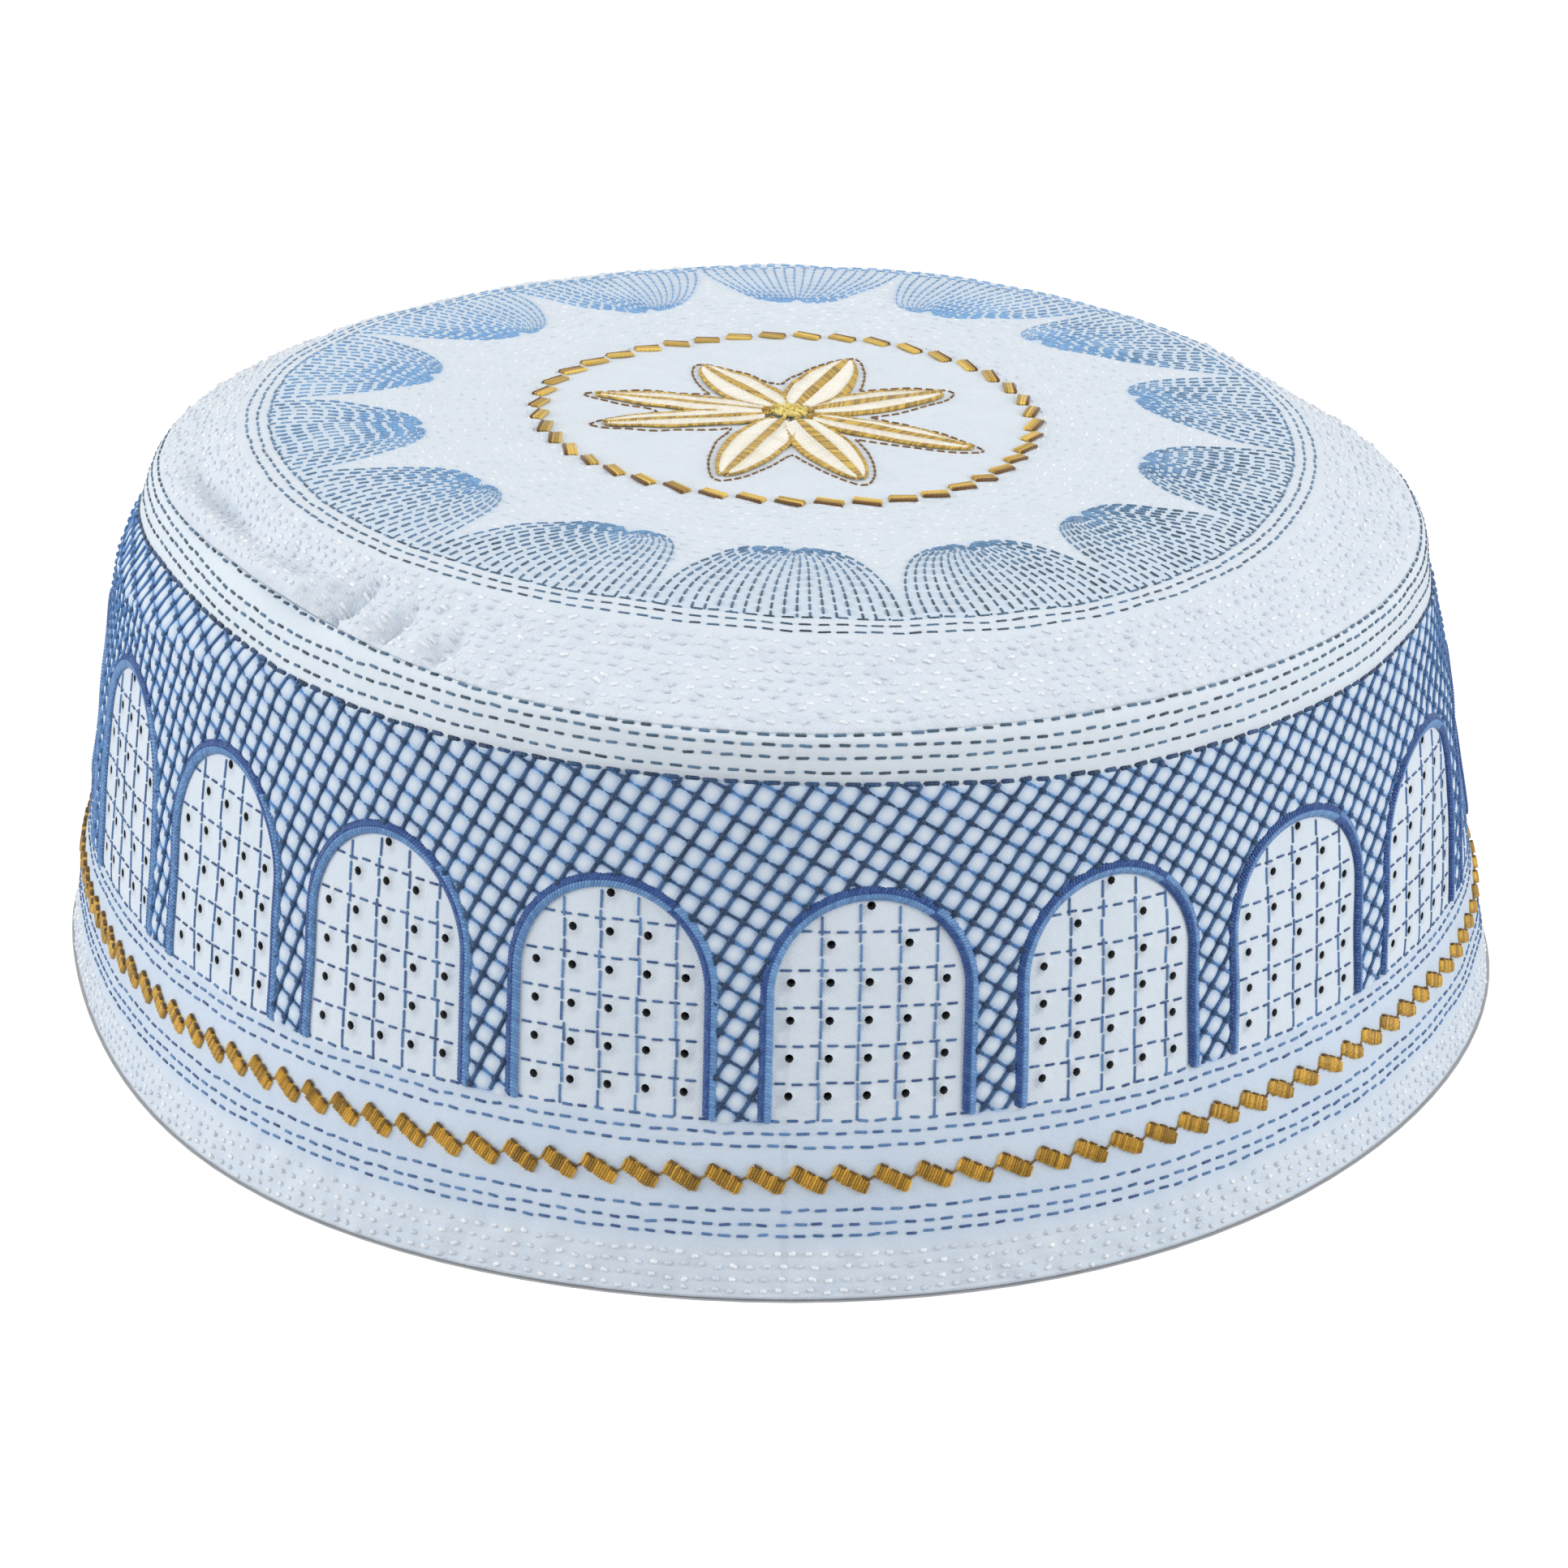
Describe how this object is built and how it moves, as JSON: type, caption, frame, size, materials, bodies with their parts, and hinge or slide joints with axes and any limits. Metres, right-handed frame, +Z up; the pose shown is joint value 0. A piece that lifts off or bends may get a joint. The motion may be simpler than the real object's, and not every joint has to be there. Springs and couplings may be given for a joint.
{
  "type": "kufi",
  "caption": "Round cloth cap with a slanted side band, a flat crown and an open hollow for the head; it stands on its hem.",
  "frame": {"origin": "middle of the hem's base, on the surface that the cap stands on", "axes": "+Z up through the crown, -Y towards the front of the picture's view"},
  "size_m": [0.1848, 0.1909, 0.0707],
  "materials": {
    "side_cotton": "quilted cotton with blue embroidery",
    "crown_cotton": "quilted cotton with blue and gold embroidery"
  },
  "bodies": {
    "root": {"side_band": "side_cotton", "crown": "crown_cotton"}
  },
  "joints": []
}
